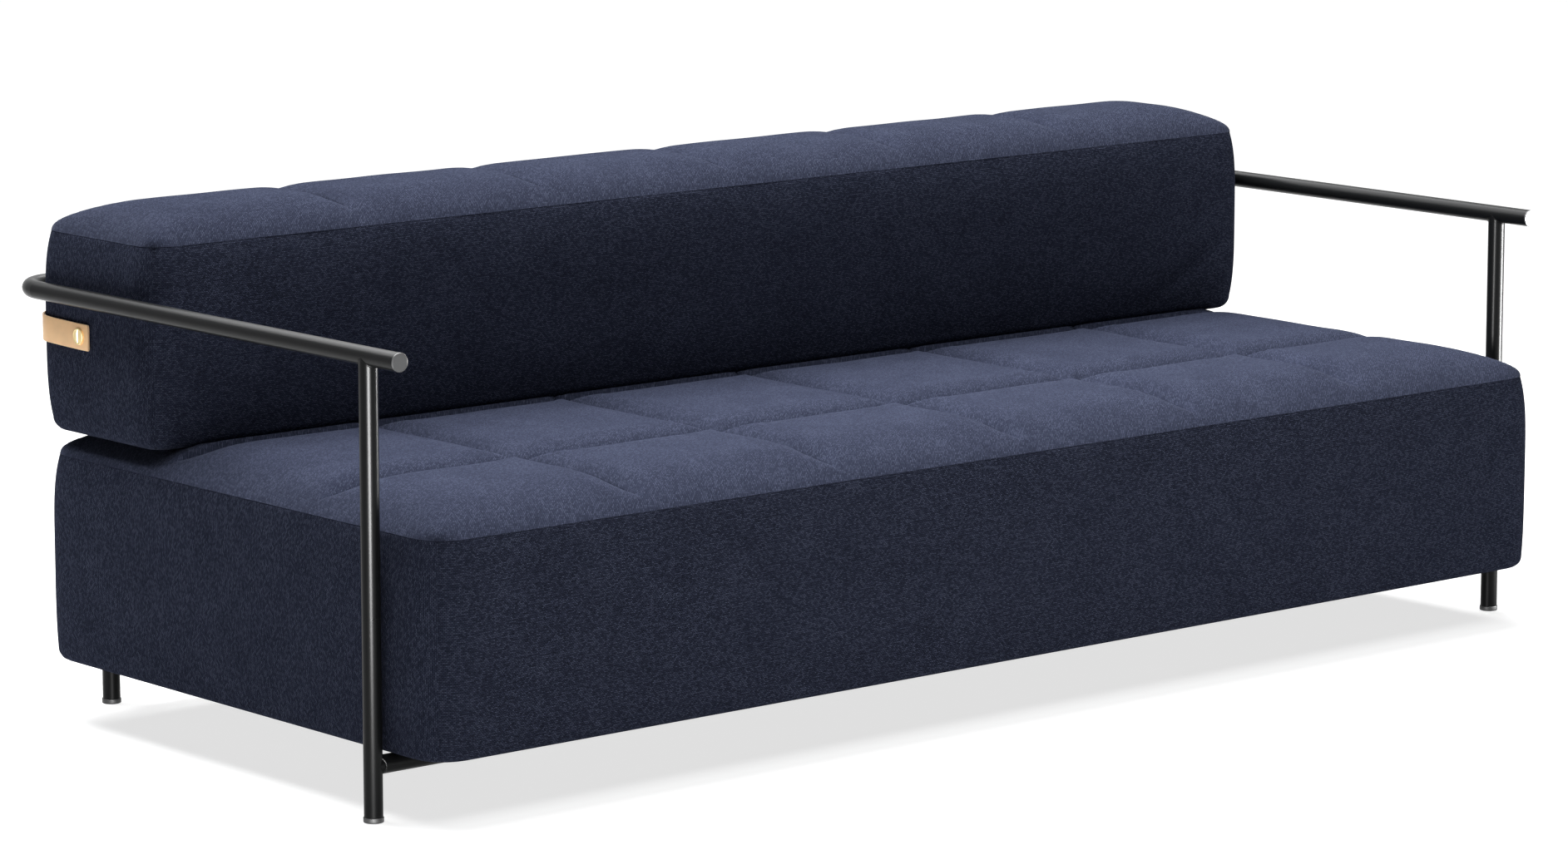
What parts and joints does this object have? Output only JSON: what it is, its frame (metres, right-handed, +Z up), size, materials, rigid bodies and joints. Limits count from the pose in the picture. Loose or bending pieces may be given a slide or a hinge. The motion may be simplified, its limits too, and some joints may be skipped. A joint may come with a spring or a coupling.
{
  "type": "futon sofa bed",
  "caption": "Long futon sofa bed: quilted seat block that slides out on a bent steel tube frame, with a matching back block that lifts off and is held by leather straps.",
  "frame": {"origin": "on the floor, under the middle of the whole sofa", "axes": "+X along the sofa's length, +Y to the rear, +Z up"},
  "size_m": [2.123, 0.9401, 0.7251],
  "materials": {
    "frame_steel": "satin",
    "cap_steel": "satin",
    "fixing_steel": "satin",
    "black_plastic": "matte",
    "runner_plastic": "satin",
    "navy_fabric": "matte",
    "welt_fabric": "matte",
    "under_cloth": "matte",
    "foam": "matte",
    "inner_timber": "matte",
    "strap_leather": "satin",
    "stud_brass": "satin"
  },
  "bodies": {
    "frame": {"arm_tube": "frame_steel", "arm_cap_left": "cap_steel", "arm_cap_right": "cap_steel", "front_post_left": "frame_steel", "front_post_right": "frame_steel", "rear_post_left": "frame_steel", "rear_post_right": "frame_steel", "front_leg_left": "frame_steel", "front_leg_right": "frame_steel", "rear_leg_left": "frame_steel", "rear_leg_right": "frame_steel", "leg_joiners": "fixing_steel", "leg_bar_left": "frame_steel", "leg_bar_right": "frame_steel", "bar_plugs": "black_plastic", "side_rail_left": "frame_steel", "side_rail_right": "frame_steel", "cross_rail": "frame_steel", "rear_rail": "frame_steel", "glide_front_left": "black_plastic", "glide_front_right": "black_plastic", "glide_rear_left": "black_plastic", "glide_rear_right": "black_plastic", "strap_loop_left": "strap_leather", "strap_loop_right": "strap_leather", "loop_rivets": "stud_brass"},
    "seat": {"seat_top_front": "navy_fabric", "seat_top_rear": "navy_fabric", "seat_welt": "welt_fabric", "seat_band_front": "navy_fabric", "seat_band_rear": "navy_fabric", "seat_band_left": "navy_fabric", "seat_band_right": "navy_fabric", "seat_core": "foam", "seat_slats": "inner_timber", "seat_bearers": "inner_timber", "seat_underside": "under_cloth", "seat_runner_left": "runner_plastic", "seat_runner_right": "runner_plastic", "runner_screws": "fixing_steel"},
    "back": {"back_top": "navy_fabric", "back_welt": "welt_fabric", "back_band_front": "navy_fabric", "back_band_rear": "navy_fabric", "back_band_left": "navy_fabric", "back_band_right": "navy_fabric", "back_core": "foam", "back_board": "inner_timber", "back_underside": "under_cloth", "stud_socket_left": "stud_brass", "stud_socket_right": "stud_brass"},
    "strap_left": {"strap_flap_left": "strap_leather", "strap_stud_left": "stud_brass"},
    "strap_right": {"strap_flap_right": "strap_leather", "strap_stud_right": "stud_brass"}
  },
  "joints": [
    {"name": "seat_pull", "type": "slide", "parent": "frame", "child": "seat", "axis": [0, -1, 0], "range_m": [0, 0.28]},
    {"name": "back_lift", "type": "slide", "parent": "frame", "child": "back", "axis": [0, 0, 1], "range_m": [0, 0.33]},
    {"name": "strap_left_open", "type": "hinge", "parent": "frame", "child": "strap_left", "pos_m": [-0.9883, 0.4408, 0.552], "axis": [0, 0, -1], "range_deg": [0, 100]},
    {"name": "strap_right_open", "type": "hinge", "parent": "frame", "child": "strap_right", "pos_m": [0.9883, 0.4408, 0.552], "axis": [0, 0, 1], "range_deg": [0, 100]}
  ]
}
